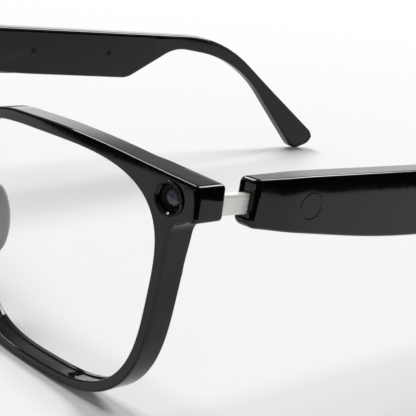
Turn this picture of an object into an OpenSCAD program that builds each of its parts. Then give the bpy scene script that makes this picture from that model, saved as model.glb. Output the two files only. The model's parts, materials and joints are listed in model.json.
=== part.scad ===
// Camera glasses whose arms plug onto metal tongues at the hinges.
// All parts are drawn in a wearing frame: X to the wearer's left, Y backwards, Z up, with Y = 0 at the
// middle of the front and Z = 0 at mid-height of the endpieces. placed() then leans the whole thing so
// that it stands on its rims and ear tips, with the floor at Z = 0.

/* [Front] */
// Width over both endpieces
front_w = 141.6; // [136:0.2:150]
// Radius of the wrap of the front, seen from above
wrap_r = 270; // [240:5:400]
// Depth of the rims, front to back
rim_d = 4.5; // [4:0.1:5]
// Width of the rim seen from the front
rim_w = 1.9; // [1.8:0.1:2.4]
// Top of the endpiece above its middle
end_top = 2.75; // [2.6:0.05:3]
// Bottom of the endpiece below its middle
end_low = 3.25; // [3:0.05:3.3]

/* [Lenses] */
// Width of a lens opening
lens_w = 51.8; // [50:0.1:53]
// Height of a lens opening
lens_h = 41.9; // [40:0.1:43]
// Thickness of a lens
lens_t = 2; // [1.6:0.1:2.2]

/* [Camera] */
// Distance of the camera from the middle of the front
cam_x = 65.5; // [65:0.1:66]
// Outside diameter of the camera's bezel
bezel_d = 5.7; // [5.4:0.1:5.8]

/* [Arms] */
// How far the left arm is pulled off its tongue
pulled = 8.6; // [0:0.1:14]
// Thickness of an arm
arm_t = 4.4; // [4.4:0.1:5]
// Downward slope of the arms, in degrees
arm_slope = 2.27; // [2:0.01:2.5]
// Outward splay of the arms, in degrees
arm_splay = 0.6; // [0:0.1:1]

/* [Plug] */
// Height of the tongue
tongue_h = 3.5; // [3.2:0.1:3.6]
// Thickness of the tongue
tongue_t = 1; // [0.9:0.05:1]
// Length of the tongue inside a seated arm
tongue_l = 13; // [12:0.5:13.5]

/* [Hidden] */
$fn = 64;
lean = 1.02;           // rotation about X that puts rims and ear tips on one floor
floor_z = -41.65;      // height of that floor under the front, measured square to it
mid_y = 84.3;          // half of the overall length, which centres the origin
half_w = front_w / 2;
edge_n = 10;           // segments of a rounded corner

// lens opening: a superellipse, a little narrower at the bottom
lens_x = 37.1;
lens_z = -18.65;
lens_power = 3.28;
lens_taper = 0.119;
lens_turn = 1.84;
groove = 0.6;          // how deep a lens sits in its groove
groove_front = 1.3;    // depth of the groove behind the front surface

// camera stack, measured along its axis from the front surface
cam_z = -0.52;
cam_turn = asin(cam_x / wrap_r);
cam_bore_r = 2.6;
cam_bore_d = 3.7;
cam_sleeve_r = 2.15;

// hinge: the bracket's knuckle sits above the plug's
hinge_x = 63;
hinge_y = 13.4;
barrel_r = 1.3;
pin_r = 0.5;
pin_gap = 0.05;
hinge_top = 1.95;
hinge_low = -2.75;
hinge_split = 0.12;
split_gap = 0.03;      // half of the play between the two knuckles
head_r = 0.85;
head_h = 0.35;
back_run = 0.268;      // slope of an endpiece's back and of an arm's mitred end

// arm frame: X outward, Y along the arm, Z up, with its origin in the middle of the seated arm's front
arm_x = 68.85 - arm_t / 2;
arm_y = 14.6;
half_t = arm_t / 2;
mitre = arm_t * back_run; // how far the inner side of an arm's front end leads the outer side
wall = 1;
cover_t = 0.8;
bay_in = -half_t + cover_t;
bay_out = half_t - wall;
tongue_in = -1.25;
tongue_out = tongue_in + tongue_t;
tongue_top = -0.5;
tongue_low = tongue_top - tongue_h;
slot_gap = 0.1;

// places along the arm
board_u = [18, 39];
battery_u = [42.2, 63.6];
speaker_u = [66.9, 73.4];
boss_u = [40.6, 65.2];
boss_w = -3.4;
touch_u = 12.1;
touch_w = -2.7;
mic_u = 21;
button_u = 34;

// ---- outlines ----

// unit vector
function unit(v) = v / norm(v);

// the arc of radius r that rounds corner b between a and c
function corner(a, b, c, r) =
    let (
        u = unit([a.x - b.x, a.y - b.y]),
        v = unit([c.x - b.x, c.y - b.y]),
        half = acos(u * v) / 2,
        centre = [b.x, b.y] + unit(u + v) * r / sin(half),
        from = [b.x, b.y] + u * r / tan(half) - centre,
        to = [b.x, b.y] + v * r / tan(half) - centre,
        start = atan2(from.y, from.x),
        turn = atan2(from.x * to.y - from.y * to.x, from * to)
    )
    [for (i = [0:edge_n]) centre + r * [cos(start + turn * i / edge_n), sin(start + turn * i / edge_n)]];

// a closed outline from corners [x, y, radius]; a corner with no radius stays sharp
function rounded(p) = [
    for (i = [0:len(p) - 1])
        let (a = p[(i + len(p) - 1) % len(p)], c = p[(i + 1) % len(p)])
        each (len(p[i]) > 2 ? corner(a, p[i], c, p[i][2]) : [[p[i].x, p[i].y]])
];

// the lens outline, grown by a margin all round
function lens_outline(grow, n = 96) = [
    for (i = [0:n - 1])
        let (
            t = 360 * i / n,
            c = cos(t), s = sin(t),
            x = (lens_w / 2 + grow) * sign(c) * pow(abs(c), 2 / lens_power),
            z = (lens_h / 2 + grow) * sign(s) * pow(abs(s), 2 / lens_power),
            xt = x * (1 + lens_taper * z / (lens_h / 2))
        )
        [lens_x + xt * cos(lens_turn) - z * sin(lens_turn), lens_z + xt * sin(lens_turn) + z * cos(lens_turn)]
];

// Y of the front surface at x
function wrap_y(x) = wrap_r - sqrt(wrap_r * wrap_r - x * x);

// brow, endpiece and half of the bridge
brow = rounded([
    [0, -1.6], [9, -1.6, 16], [23, 3.9, 30], [45, 5.05, 160],
    [half_w, end_top, 0.7], [half_w, -end_low, 0.7], [66, -end_low, 3.8], [65.4, -14],
    [61, -14], [58, -2], [20, -3], [11, -14], [9.4, -14], [6.4, -7, 4.5], [0, -7]
]);

// side outline of an arm: front end, ear hook, tip, knee
arm_side = rounded([
    [-mitre, 2.15, 1.1], [10, 2.6, 70], [108.1, 2.6, 42], [150.6, -29.3, 3.2], [141.3, -33.4, 3],
    [115.2, -4.3, 40], [89.7, -1.2, 14], [73, -10.75, 7], [31, -9.95, 200], [-mitre, -6.1, 2.1]
]);

// plan outline of an arm
arm_plan = rounded([
    [half_t - 0.8, 0, 0.9], [half_t, 7, 50], [half_t, 116, 250], [-6.2, 152], [-9.8, 152],
    [-half_t + 0.6, 112, 200], [-half_t, 84, 60], [-half_t, -mitre, 0.5]
]);

cover_side = rounded([
    [3.4, 1.6, 0.8], [82, 1.6, 1.2], [82, -4.33, 2], [72.7, -9.65, 5], [31, -9.1, 200], [3.4, -5, 0.8]
]);
bay_side = rounded([
    [4.2, 0.8, 0.5], [80.8, 0.8, 1], [80.8, -3.9, 1.6], [72.4, -8.8, 4], [31, -8.2, 200], [4.2, -4.75, 0.5]
]);

// side and plan outlines of the core wire, a flat bar along the middle of the ear hook
wire_side = rounded([
    [90, 0.9], [110.5, 0.9, 41], [140.5, -26.1], [139.5, -27], [109.9, -0.5, 39], [90, -0.5]
]);
wire_plan = rounded([[0.5, 84], [0.5, 115, 230], [-6.6, 148], [-7.6, 148], [-0.5, 114, 230], [-0.5, 84]]);

// ---- frames and helpers ----

module placed() {
    translate([0, -mid_y, -floor_z]) rotate([-lean, 0, 0]) children();
}

// side 1 is the wearer's left, -1 the right
module on_side(side) {
    if (side > 0) children();
    else mirror([1, 0, 0]) children();
}

// the frame of an arm, at its distance from the seated place
module arm_frame(out = 0) {
    translate([arm_x, arm_y, 0]) rotate([-arm_slope, 0, 0]) rotate([0, 0, -arm_splay])
        translate([0, out, 0]) children();
}

// a piece on the arm of one side, where that arm is at rest
module on_arm(side) {
    placed() on_side(side) arm_frame(side > 0 ? pulled : 0) children();
}

// the camera's axis: Z points out of the front along the lens
module camera_axis() {
    translate([cam_x, wrap_y(cam_x), cam_z]) rotate([0, 0, cam_turn]) rotate([90, 0, 0]) children();
}

// an outline in X and Z, made a bar along Y
module along_y(outline, from, to) {
    translate([0, to, 0]) rotate([90, 0, 0]) linear_extrude(to - from) polygon(outline);
}

// an outline in Y and Z, made a bar along X
module along_x(outline, from, to) {
    translate([from, 0, 0]) rotate([90, 0, 90]) linear_extrude(to - from) polygon(outline);
}

// an outline in X and Y, made a bar along Z
module along_z(outline, from, to) {
    translate([0, 0, from]) linear_extrude(to - from) polygon(outline);
}

// a box from its low to its high corner
module box(low, high) {
    translate(low) cube(high - low);
}

// an upright disc round the hinge axis
module hinge_disc(r, from, to) {
    translate([hinge_x, hinge_y, from]) cylinder(r = r, h = to - from);
}

// the space between two depths behind the front surface
module wrapped(from, to) {
    translate([0, wrap_r, -60]) difference() {
        cylinder(r = wrap_r - from, h = 80, $fn = 360);
        translate([0, 0, -1]) cylinder(r = wrap_r - to, h = 82, $fn = 360);
    }
}

// ---- front ----

// Y of an endpiece's back at x; it runs to a corner 14.7 mm behind the middle of the front
function back_y(x) = 14.7 - (half_w - x) * back_run;

module end_block() {
    along_z([
        [58, 7.5], [half_w + 1, 7.5], [half_w + 1, back_y(half_w + 1)], [60, back_y(60)], [58, 10.6]
    ], -12, 6);
}

module front_plan() {
    intersection() {
        translate([0, wrap_r, -60]) cylinder(r = wrap_r, h = 80, $fn = 360);
        union() {
            wrapped(-1, rim_d);
            end_block();
            mirror([1, 0, 0]) end_block();
        }
    }
}

// room behind an endpiece for the hinge, open below for the plug's neck
module hinge_recess() {
    along_z([[61.4, 11.9], [64.3, 11.9], [66.75, 12.5], [66.75, 16], [61.4, 16]],
        hinge_low - 0.05, hinge_top + 0.1);
    along_z([[64.3, 11.9], [66.75, 12.5], [66.75, 16], [64.3, 16]], -4.3, 0);
}

// the bracket's leaf, held in a slot of the endpiece
module hinge_leaf() {
    box([66.6, 12.6, -1.9], [69.6, 13.3, 1.75]);
}

module front_frame() {
    color("#101011") placed() difference() {
        intersection() {
            front_plan();
            difference() {
                for (side = [1, -1]) on_side(side) {
                    along_y(brow, -5, 20);
                    along_y(lens_outline(rim_w), -5, 20);
                }
                for (side = [1, -1]) on_side(side) along_y(lens_outline(0), -6, 21);
            }
            // flat feet where the rims stand
            rotate([lean, 0, 0]) box([-80, -10, floor_z], [80, 30, 20]);
        }
        for (side = [1, -1]) on_side(side) {
            intersection() {
                along_y(lens_outline(groove + 0.05), -6, 21);
                wrapped(groove_front - 0.02, groove_front + lens_t + 0.02);
            }
            hinge_recess();
            hinge_leaf();
        }
        camera_axis() translate([0, 0, -cam_bore_d]) cylinder(r = cam_bore_r, h = cam_bore_d + 1);
        // passage of the camera's flex into the hinge recess
        box([63.7, 11, -1.4], [64.5, 12.6, 0.8]);
    }
}

module lens(side) {
    color("#dfe6ea", 0.35) placed() on_side(side) intersection() {
        along_y(lens_outline(groove), -6, 21);
        wrapped(groove_front, groove_front + lens_t);
    }
}

// a soft pad behind the nasal side of a rim, spreading backwards
module nose_pad(side) {
    color("#6f7072") placed() on_side(side) intersection() {
        along_z(rounded([[8.2, 4.65, 0.4], [11.9, 4.85, 0.4], [15, 10.6, 1.3], [12.2, 11.8, 1.3]]), -40, 0);
        along_x(rounded([
            [4.5, -14, 1.2], [9.5, -13, 2.5], [12.4, -17, 3.5],
            [12.4, -27, 3.5], [9.5, -31, 2.5], [4.5, -29, 1.2]
        ]), 0, 30);
    }
}

// ---- camera ----

module camera_bezel() {
    color("#0c0c0d") placed() camera_axis() rotate_extrude() polygon([
        [cam_sleeve_r, -3.1], [cam_bore_r - 0.05, -3.1], [cam_bore_r - 0.05, 0.06], [bezel_d / 2, 0.06],
        [bezel_d / 2, 0.22], [bezel_d / 2 - 0.25, 0.4], [cam_sleeve_r + 0.2, 0.4], [cam_sleeve_r, 0.25]
    ]);
}

module camera_barrel() {
    color("#161618") placed() camera_axis() rotate_extrude() polygon([
        [0.75, -3], [cam_sleeve_r - 0.05, -3], [cam_sleeve_r - 0.05, -0.5], [1.75, -0.5],
        [1.25, -1.1], [1.25, -1.9], [0.75, -1.9]
    ]);
}

// front element: a dome on a short edge
module camera_lens() {
    color("#2b2440") placed() camera_axis() intersection() {
        translate([0, 0, -1.88]) cylinder(r = 1.2, h = 1.4);
        translate([0, 0, -2.6]) sphere(r = 1.72);
    }
}

module camera_cover_glass() {
    color("#30343a", 0.35) placed() camera_axis() translate([0, 0, -0.45])
        cylinder(r = cam_sleeve_r - 0.05, h = 0.35);
}

module camera_board() {
    color("#1d5a3a") placed() camera_axis() {
        translate([0, 0, -3.65]) cylinder(r = 2.3, h = 0.35);
        box([-1, -1, -3.35], [1, 1, -3.05]);
    }
}

// the flex runs from behind the board into the hinge recess
module camera_flex() {
    color("#b5752a") placed() box([64, 11.78, -1.2], [64.2, 12.05, 0.6]);
}

// ---- hinge and plug ----

module hinge_bracket(side) {
    color("#b9babc") placed() on_side(side) difference() {
        union() {
            hinge_leaf();
            hinge_disc(barrel_r, hinge_split + split_gap, hinge_top);
            along_z([[hinge_x, 12.3], [66.7, 12.6], [66.7, 13.3], [64.4, 13.2], [hinge_x, 12.9]],
                hinge_split + split_gap, hinge_top);
        }
        hinge_disc(pin_r, hinge_low, hinge_top + 1);
        hinge_disc(head_r, hinge_top - head_h, hinge_top + 1);
    }
}

module hinge_screw(side) {
    color("#8d8e90") placed() on_side(side) {
        hinge_disc(pin_r, hinge_low, hinge_top - head_h);
        hinge_disc(head_r, hinge_top - head_h, hinge_top);
    }
}

// pads on the inner face of the tongue, and the springs that meet them
module contact_row(from, to, low, high) {
    for (i = [0:3]) box([low, from, -3.5 + 0.8 * i - 0.2], [high, to, -3.5 + 0.8 * i + 0.2]);
}

module tongue_pads() {
    contact_row(8.4, 12.3, tongue_in, tongue_in + 0.1);
}

// tongue, neck and knuckle in one piece of metal
module plug(side) {
    color("#d8d6d2") placed() on_side(side) {
        difference() {
            union() {
                hinge_disc(barrel_r, hinge_low, hinge_split - split_gap);
                along_z([[hinge_x, 12.3], [66.3, 12.75], [66.3, 13.7], [64.4, 13.2], [hinge_x, 12.9]],
                    hinge_low, hinge_split - split_gap);
                arm_frame() box([tongue_in, -1.6, tongue_low], [tongue_out, tongue_l, tongue_top]);
            }
            hinge_disc(pin_r + pin_gap, hinge_low - 1, hinge_top + 1);
            arm_frame() tongue_pads();
            // fine groove along the outer face, below the upper edge
            arm_frame() box(
                [tongue_out - 0.12, 0.5, tongue_top - 0.45],
                [tongue_out + 1, tongue_l - 0.6, tongue_top - 0.25]
            );
        }
    }
}

module plug_contacts(side) {
    color("#d9b35a") placed() on_side(side) arm_frame() tongue_pads();
}

// ---- arms ----

// a disc whose axis runs across the arm
module cross_disc(u, w, r, from, to) {
    translate([from, u, w]) rotate([0, 90, 0]) cylinder(r = r, h = to - from);
}

module slot_room() {
    box([tongue_in - slot_gap, -3, tongue_low - slot_gap], [tongue_out + slot_gap, 5, tongue_top + slot_gap]);
}

module touch_ring_solid(proud) {
    difference() {
        cross_disc(touch_u, touch_w, 2.5, half_t - 0.2, half_t + proud);
        cross_disc(touch_u, touch_w, 2.1, half_t - 1, half_t + 1);
    }
}

module wire_solid() {
    intersection() {
        along_x(wire_side, -12, 4);
        along_z(wire_plan, -40, 5);
    }
}

module grille_room(low, high) {
    box([-0.8, 67.6, low], [0.8, 72.4, high]);
}

// outer shell with the ear hook; only the right arm has the button's slot
module arm_shell(side) {
    color("#101011") on_arm(side) difference() {
        intersection() {
            along_x(arm_side, -14, 4);
            along_z(arm_plan, -45, 6);
        }
        along_x(cover_side, -half_t - 1, bay_in);
        difference() {
            along_x(bay_side, bay_in - 0.5, bay_out);
            for (u = boss_u) cross_disc(u, boss_w, 1.15, bay_in, bay_out + 0.1);
        }
        for (u = boss_u) cross_disc(u, boss_w, 0.4, bay_in - 0.5, 0.8);
        slot_room();
        wire_solid();
        touch_ring_solid(0.5);
        translate([0.15, mic_u, -12]) cylinder(r = 0.35, h = 5.6);
        grille_room(-12, -8);
        if (side < 0) box([-0.75, button_u - 2.1, -12], [0.75, button_u + 2.1, -7]);
    }
}

module arm_cover(side) {
    color("#191919") on_arm(side) difference() {
        along_x(cover_side, -half_t, bay_in);
        for (u = boss_u) {
            cross_disc(u, boss_w, 0.4, -half_t - 1, bay_in + 1);
            cross_disc(u, boss_w, 0.8, -half_t - 1, -half_t + 0.35);
        }
    }
}

module cover_screws(side) {
    color("#5a5b5d") on_arm(side) for (u = boss_u) {
        cross_disc(u, boss_w, 0.4, -half_t + 0.35, 0.8);
        cross_disc(u, boss_w, 0.8, -half_t + 0.05, -half_t + 0.35);
    }
}

// socket that takes the tongue, open towards the cover
module socket(side) {
    color("#26272b") on_arm(side) difference() {
        box([bay_in, 4.3, -4.6], [0.85, 17.2, 0.7]);
        box([bay_in - 1, 4, tongue_low - slot_gap],
            [tongue_out + slot_gap, tongue_l + 3, tongue_top + slot_gap]);
    }
}

module socket_springs(side) {
    color("#d9b35a") on_arm(side) contact_row(5, 11.6, bay_in, bay_in + 0.1);
}

module circuit_board(side) {
    color("#1d5a3a") on_arm(side) {
        box([-0.9, board_u[0], -6], [-0.3, board_u[1], 0.5]);
        for (chip = [[19.5, 24.5, -4.3], [26, 30, -3.6], [31.5, 36.5, -4.6]])
            box([-0.3, chip[0], chip[2]], [0.5, chip[1], -0.3]);
    }
}

module battery(side) {
    color("#9a9da2") on_arm(side) along_x(rounded([
        [battery_u[0], 0.5, 0.8], [battery_u[1], 0.5, 0.8],
        [battery_u[1], -7.5, 0.8], [battery_u[0], -7.5, 0.8]
    ]), -1.2, 1);
}

module speaker(side) {
    color("#3a3b3e") on_arm(side) along_x(rounded([
        [speaker_u[0], 0.3, 1.5], [speaker_u[1], 0.3, 1.5],
        [speaker_u[1], -7.6, 1.5], [speaker_u[0], -7.6, 1.5]
    ]), -1.2, 1);
}

module speaker_grille(side) {
    color("#2b2c2e") on_arm(side) difference() {
        grille_room(-10.4, -10);
        for (i = [0:5]) box([-0.5, 68.1 + 0.7 * i, -11], [0.5, 68.4 + 0.7 * i, -9]);
    }
}

module microphone(side) {
    color("#c2a55a") on_arm(side) box([-0.3, mic_u - 1.2, -6.4], [0.6, mic_u + 1.2, -5]);
}

module touch_sensor(side) {
    color("#b5752a") on_arm(side) cross_disc(touch_u, touch_w, 1.9, bay_out - 0.25, bay_out);
}

module touch_ring(side) {
    color("#050505") on_arm(side) touch_ring_solid(0.05);
}

module core_wire(side) {
    color("#9c9da0") on_arm(side) wire_solid();
}

// button under the right arm: a stem through the wall on a flange inside
module function_button() {
    color("#161617") on_arm(-1) {
        box([-0.65, button_u - 2, -10.2], [0.65, button_u + 2, -7.5]);
        box([-1.1, button_u - 2.7, -7.5], [1, button_u + 2.7, -7.1]);
    }
}

module button_switch() {
    color("#c8c9cb") on_arm(-1) box([-0.3, button_u - 1, -6.6], [0.6, button_u + 1, -5.4]);
}

front_frame();
lens(1);  // lens_left
lens(-1);  // lens_right
nose_pad(1);  // nose_pad_left
nose_pad(-1);  // nose_pad_right
camera_bezel();
camera_barrel();
camera_lens();
camera_cover_glass();
camera_board();
camera_flex();
hinge_bracket(1);  // hinge_bracket_left
hinge_bracket(-1);  // hinge_bracket_right
hinge_screw(1);  // hinge_screw_left
hinge_screw(-1);  // hinge_screw_right
plug(1);  // plug_left
plug(-1);  // plug_right
plug_contacts(1);  // plug_contacts_left
plug_contacts(-1);  // plug_contacts_right
arm_shell(1);  // arm_shell_left
arm_shell(-1);  // arm_shell_right
arm_cover(1);  // arm_cover_left
arm_cover(-1);  // arm_cover_right
socket(1);  // socket_left
socket(-1);  // socket_right
socket_springs(1);  // socket_springs_left
socket_springs(-1);  // socket_springs_right
circuit_board(1);  // circuit_board_left
circuit_board(-1);  // circuit_board_right
battery(1);  // battery_left
battery(-1);  // battery_right
speaker(1);  // speaker_left
speaker(-1);  // speaker_right
speaker_grille(1);  // speaker_grille_left
speaker_grille(-1);  // speaker_grille_right
microphone(1);  // microphone_left
microphone(-1);  // microphone_right
touch_sensor(1);  // touch_sensor_left
touch_sensor(-1);  // touch_sensor_right
touch_ring(1);  // touch_ring_left
touch_ring(-1);  // touch_ring_right
core_wire(1);  // core_wire_left
core_wire(-1);  // core_wire_right
cover_screws(1);  // cover_screws_left
cover_screws(-1);  // cover_screws_right
function_button();
button_switch();
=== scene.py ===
import json
import math

import bmesh
import bpy
import numpy as np
from mathutils import Matrix, Vector


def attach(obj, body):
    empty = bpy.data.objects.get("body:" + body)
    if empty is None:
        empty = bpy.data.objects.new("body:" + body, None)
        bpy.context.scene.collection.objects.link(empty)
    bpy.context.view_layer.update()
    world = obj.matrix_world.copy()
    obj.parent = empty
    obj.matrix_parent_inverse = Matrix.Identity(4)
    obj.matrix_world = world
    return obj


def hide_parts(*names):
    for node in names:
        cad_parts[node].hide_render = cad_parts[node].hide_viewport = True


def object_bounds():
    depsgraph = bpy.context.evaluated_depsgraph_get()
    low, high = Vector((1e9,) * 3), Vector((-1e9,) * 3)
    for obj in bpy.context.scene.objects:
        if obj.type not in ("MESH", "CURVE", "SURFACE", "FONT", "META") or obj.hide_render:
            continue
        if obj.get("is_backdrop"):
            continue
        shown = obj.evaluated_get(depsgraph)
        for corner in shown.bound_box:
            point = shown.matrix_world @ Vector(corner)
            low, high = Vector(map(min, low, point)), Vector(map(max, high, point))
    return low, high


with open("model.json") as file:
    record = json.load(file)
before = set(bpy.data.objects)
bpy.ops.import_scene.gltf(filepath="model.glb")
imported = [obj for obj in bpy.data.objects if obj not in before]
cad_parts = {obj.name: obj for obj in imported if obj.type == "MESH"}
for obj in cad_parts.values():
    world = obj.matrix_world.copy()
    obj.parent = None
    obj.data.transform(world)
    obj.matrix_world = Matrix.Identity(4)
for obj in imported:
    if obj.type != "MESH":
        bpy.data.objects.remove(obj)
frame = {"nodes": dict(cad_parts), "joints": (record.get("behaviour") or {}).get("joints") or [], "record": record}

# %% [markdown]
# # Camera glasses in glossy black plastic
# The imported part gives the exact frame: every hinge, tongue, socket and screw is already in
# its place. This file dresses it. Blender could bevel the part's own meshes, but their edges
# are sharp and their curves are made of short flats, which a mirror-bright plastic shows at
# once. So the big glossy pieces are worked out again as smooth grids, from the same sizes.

cad_box = [list(corner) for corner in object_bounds()]
print("box of the part in metres:", cad_box)

# %% [markdown]
# ## The wearing frame
# The glasses stand tipped forward by about a degree, and their arms slope and splay a little
# more. It is easiest to draw each piece square to itself, in millimetres, and to place it
# afterwards. The two frames come from the joints: the hinge gives which way is up on the
# front, and the arm's slide gives the way along an arm.

# %% Frames read from the joints
joints = {j["name"]: j for j in frame["joints"]}
up = np.array(joints["hinge_left"]["axis"])
WEAR = np.array([[1, 0, 0], [0, up[2], -up[1]], up])
HINGE_MM = np.array([63.0, 13.4, 0.0])
wear_origin = np.array(joints["hinge_left"]["pos_m"]) - HINGE_MM / 1000 @ WEAR


def worn(p):
    """Points of the wearing frame in mm (x to the wearer's left, y back, z up) to the row
    frame in metres: p times the frame's unit vectors, plus its origin."""
    return np.asarray(p, float) / 1000 @ WEAR + wear_origin


ARM_ROOT_MM = np.array([66.65, 14.6, 0.0])
arm_top = np.array(joints["button_press"]["axis"])
arm_along = np.array(joints["slide_left"]["axis"])
arm_out = np.cross(arm_along, arm_top)
SIDES = {"left": 1, "right": -1}
PULLED = {side: -1000 * joints["slide_" + word]["range_m"][0] for word, side in SIDES.items()}


def on_arm(p, side):
    """Points of an arm in mm (out, along, up, from the middle of its front end) to the row
    frame in metres. The right arm is the left one mirrored in x."""
    p = np.asarray(p, float) + [0, PULLED[side], 0]
    q = worn(ARM_ROOT_MM) + p / 1000 @ np.array([arm_out, arm_along, arm_top])
    return q * [side, 1, 1]


print("arms are pulled off by (mm):", PULLED)

# %% [markdown]
# ## From numbers to a mesh
# Every new piece is a grid of points: rows one way, columns the other, and a quad between
# neighbours. The points are worked out as whole arrays and handed to the mesh in one go.
# Two grids that share an edge are welded by looking for equal points.

# %% Grids, welding and new pieces
def grid_faces(rows, cols, close_rows=False, close_cols=False):
    """Quads of a grid stored row by row: point (i, j) with (i, j+1), (i+1, j+1), (i+1, j).
    Where a direction is closed, the last line joins the first."""
    i = np.arange(rows if close_rows else rows - 1)[:, None]
    j = np.arange(cols if close_cols else cols - 1)[None, :]
    k, m = (i + 1) % rows, (j + 1) % cols
    return np.stack([i * cols + j, i * cols + m, k * cols + m, k * cols + j], -1).reshape(-1, 4)


def welded(points, faces):
    """Points that are equal to 0.0001 mm become one, and quads with two equal corners become
    triangles or go."""
    key = np.round(np.asarray(points) * 1e7).astype(np.int64)
    _, first, back = np.unique(key, axis=0, return_index=True, return_inverse=True)
    faces = back.ravel()[np.asarray(faces)]
    kept = [list(dict.fromkeys(f)) for f in faces.tolist()]
    return np.asarray(points)[first], [f for f in kept if len(f) > 2]


def new_mesh(name, points, faces):
    """A mesh with its loose points dropped and its faces turned outwards."""
    mesh = bpy.data.meshes.new(name)
    mesh.from_pydata(np.asarray(points).tolist(), [], [list(f) for f in faces])
    work = bmesh.new()
    work.from_mesh(mesh)
    bmesh.ops.delete(work, geom=[v for v in work.verts if not v.link_faces], context="VERTS")
    bmesh.ops.recalc_face_normals(work, faces=work.faces)
    work.to_mesh(mesh)
    work.free()
    mesh.update()
    return mesh


def new_piece(name, points, faces):
    """An object in the scene with such a mesh, at the origin."""
    piece = bpy.data.objects.new(name, new_mesh(name, points, faces))
    bpy.context.scene.collection.objects.link(piece)
    return piece


def smoothed(piece, sharp=35):
    """Smooth shading, except over edges sharper than an angle in degrees, and normals that
    lean to the larger faces, so that a narrow rounded edge doesn't bend a flat's mirror image."""
    piece.data.shade_smooth()
    piece.data.set_sharp_from_angle(angle=math.radians(sharp))
    leaning = piece.modifiers.new("normals lean to large faces", "WEIGHTED_NORMAL")
    leaning.keep_sharp = True
    return piece


def carved(piece, cutters):
    """Takes each cutter out of the piece, then removes the cutters."""
    for cutter in cutters:
        cut = piece.modifiers.new("cut", "BOOLEAN")
        cut.operation, cut.solver, cut.object = "DIFFERENCE", "EXACT", cutter
    cut_piece = piece.evaluated_get(bpy.context.evaluated_depsgraph_get())
    made = bpy.data.meshes.new_from_object(cut_piece)
    piece.modifiers.clear()
    piece.data = made
    for cutter in cutters:
        bpy.data.objects.remove(cutter)
    return piece


# %% [markdown]
# ## Outlines
# A moulded part's outline is straight runs and arcs. The draughtsman's way is a list of
# corners, each with its radius, and that is also the shortest way to write one down.

# %% Outlines with rounded corners
def rounded(corners, closed=True, n=14):
    """Points of an outline given as (x, y) or (x, y, radius) corners. A corner's arc has its
    centre on the bisector, at radius / sin(half the corner's angle) from the corner."""
    out = []
    count = len(corners)
    for i, corner in enumerate(corners):
        b = np.array(corner[:2], float)
        if len(corner) < 3 or not closed and i in (0, count - 1):
            out.append(b[None])
            continue
        a, c = np.array(corners[i - 1][:2], float), np.array(corners[(i + 1) % count][:2], float)
        u, v = (a - b) / np.linalg.norm(a - b), (c - b) / np.linalg.norm(c - b)
        half = math.acos(float(u @ v)) / 2
        r = corner[2]
        centre = b + (u + v) / np.linalg.norm(u + v) * r / math.sin(half)
        start, end = b + u * r / math.tan(half) - centre, b + v * r / math.tan(half) - centre
        turn = math.atan2(start[0] * end[1] - start[1] * end[0], float(start @ end))
        t = math.atan2(start[1], start[0]) + turn * np.linspace(0, 1, n)
        out.append(centre + r * np.stack([np.cos(t), np.sin(t)], 1))
    return np.concatenate(out)


def lengths(line):
    """Distance along a polyline up to each of its points."""
    return np.concatenate([[0], np.cumsum(np.linalg.norm(np.diff(line, axis=0), axis=1))])


def along(line, s):
    """The points at distances s along a polyline."""
    at = lengths(line)
    return np.stack([np.interp(s, at, line[:, k]) for k in range(line.shape[1])], 1)


# %% [markdown]
# ## The front
# The front is one moulding: two rims, a bridge, a brow line and an endpiece at each side,
# wrapped round a radius of 270 mm. Half of it is a ring: it goes round a lens opening, and
# the other half is its mirror image. So the half is a profile carried round the opening.
# The profile's inner end runs on the opening and its outer end on the outline. Straight
# lines from one point inside the opening meet each of them once, which pairs them up.

# %% Sizes of the front in millimetres
HALF_W, WRAP_R, RIM_D, RIM_W = 70.8, 270.0, 4.5, 1.9
LENS_W, LENS_H, LENS_X, LENS_Z = 51.8, 41.9, 37.1, -18.65
LENS_POWER, LENS_TAPER, LENS_TURN = 3.28, 0.119, math.radians(1.84)
END_BACK, SLANT = 14.7, 0.268  # back of the endpiece at its outer side, and its fall inwards
BRIDGE_TOP, BRIDGE_LOW = -1.6, -7
FAN = np.array([42.0, -2.35])  # the point that the pairing lines start from


def lens_outline(grow, n=2880):
    """A superellipse |x/a|^p + |z/b|^p = 1, tapered towards the bottom by 12% of its half
    width over its half height, and turned by a little under 2 degrees."""
    t = 2 * np.pi * np.arange(n) / n
    c, s = np.cos(t), np.sin(t)
    x = (LENS_W / 2 + grow) * np.sign(c) * np.abs(c) ** (2 / LENS_POWER)
    z = (LENS_H / 2 + grow) * np.sign(s) * np.abs(s) ** (2 / LENS_POWER)
    x = x * (1 + LENS_TAPER * z / (LENS_H / 2))
    ct, st = math.cos(LENS_TURN), math.sin(LENS_TURN)
    return np.stack([LENS_X + x * ct - z * st, LENS_Z + x * st + z * ct], 1)


def wrap_y(x, depth=0.0):
    """Y on the circle round (0, wrap radius) that lies a depth behind the front surface."""
    return WRAP_R - np.sqrt((WRAP_R - depth) ** 2 - np.asarray(x) ** 2)


def ease(t):
    """0 below 0, 1 above 1, and 3t^2 - 2t^3 between, which starts and stops gently."""
    t = np.clip(t, 0, 1)
    return t * t * (3 - 2 * t)


def back_y(x, z):
    """Y of the front's back surface: 4.5 mm behind its front one on the rims, and on the
    endpieces the slanted face that the arm meets, with a gentle change between them."""
    rim = wrap_y(x, RIM_D)
    slanted = END_BACK - (HALF_W - x) * SLANT
    return rim + np.maximum(slanted - rim, 0) * ease((x - 57.5) / 3) * ease((z + 13) / 7)


# %% The outline of half the front
def polar(line):
    """Angle in degrees (0 to 360) and distance of points as seen from the fan's point."""
    d = line - FAN
    return np.degrees(np.arctan2(d[:, 1], d[:, 0])) % 360, np.linalg.norm(d, axis=1)


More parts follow.
